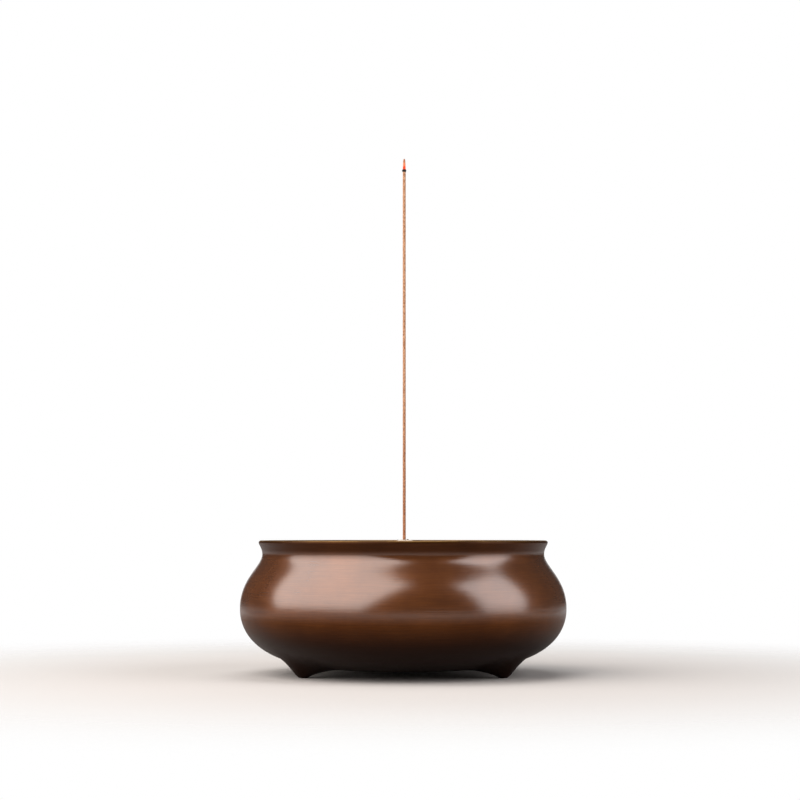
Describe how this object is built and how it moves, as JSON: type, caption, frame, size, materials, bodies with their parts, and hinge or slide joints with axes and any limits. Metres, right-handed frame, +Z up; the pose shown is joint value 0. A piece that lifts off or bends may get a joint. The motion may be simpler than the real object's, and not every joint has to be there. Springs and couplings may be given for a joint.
{
  "type": "tripod incense burner",
  "caption": "Low bellied cast bowl with a flared lip on small nipple feet, filled with ash that holds one upright lit incense stick.",
  "frame": {"origin": "on the ground, under the middle of the bowl", "axes": "+Z up along the bowl's axis, -Y towards the side between the two front feet"},
  "size_m": [0.1524, 0.1524, 0.2428],
  "materials": {
    "patinated_bronze": "brown waxed patina, fine turned lines",
    "burner_ash": "soft powder",
    "incense": "matte pressed incense",
    "charred_incense": "matte char",
    "glowing_ember": "glowing",
    "burnt_tip": "matte ash"
  },
  "bodies": {
    "censer": {"censer_body": "patinated_bronze", "ash_bed": "burner_ash"},
    "stick": {"incense_stick": "incense", "char_ring": "charred_incense", "ember": "glowing_ember", "ash_tip": "burnt_tip"}
  },
  "joints": [
    {"name": "stick_pull", "type": "slide", "parent": "censer", "child": "stick", "axis": [0, 0, 1], "range_m": [0, 0.03]}
  ]
}
